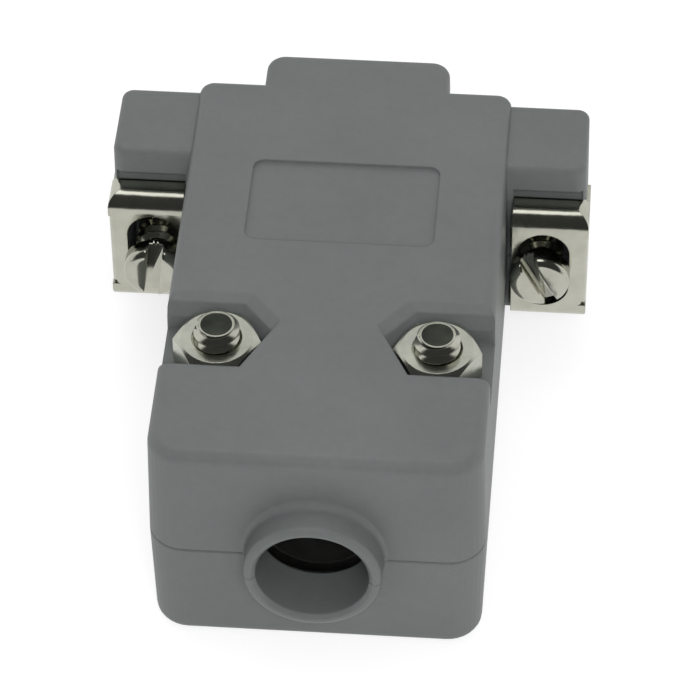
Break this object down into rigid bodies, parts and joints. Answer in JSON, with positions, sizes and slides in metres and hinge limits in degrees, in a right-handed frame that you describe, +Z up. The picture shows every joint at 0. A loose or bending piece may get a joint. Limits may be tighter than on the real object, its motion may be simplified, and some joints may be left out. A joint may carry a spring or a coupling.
{
  "type": "d-sub hood",
  "caption": "Two-part plastic hood for a small D-shaped connector, with a round cable collar, side ears, folded metal brackets and slotted jackscrews.",
  "frame": {"origin": "centre of the closed hood's box, on the flat bottom face", "axes": "+Y towards the mating end, +Z up through the face with the label recess, +X to the right seen from the cable end"},
  "size_m": [0.031, 0.0404, 0.0167],
  "materials": {
    "shell": "fine satin grey ABS",
    "screw_steel": "nickel-plated steel",
    "bracket_steel": "nickel-plated folded sheet",
    "clamp_steel": "zinc-plated sheet"
  },
  "bodies": {
    "hood": {"lower_shell": "shell", "upper_shell": "shell", "closing_screw_left": "screw_steel", "closing_screw_right": "screw_steel", "closing_nut_left": "screw_steel", "closing_nut_right": "screw_steel", "bracket_left": "bracket_steel", "bracket_right": "bracket_steel", "clamp_lower": "clamp_steel", "clamp_upper": "clamp_steel", "clamp_screw_left": "clamp_steel", "clamp_screw_right": "clamp_steel"},
    "jackscrew_left_body": {"jackscrew_left": "screw_steel"},
    "jackscrew_right_body": {"jackscrew_right": "screw_steel"}
  },
  "joints": [
    {"name": "jackscrew_left_turn", "type": "hinge", "parent": "hood", "child": "jackscrew_left_body", "pos_m": [-0.01249, 0.01207, 0.0079], "axis": [0, 1, 0], "continuous": true},
    {"name": "jackscrew_right_turn", "type": "hinge", "parent": "hood", "child": "jackscrew_right_body", "pos_m": [0.01249, 0.01207, 0.0079], "axis": [0, 1, 0], "continuous": true}
  ]
}
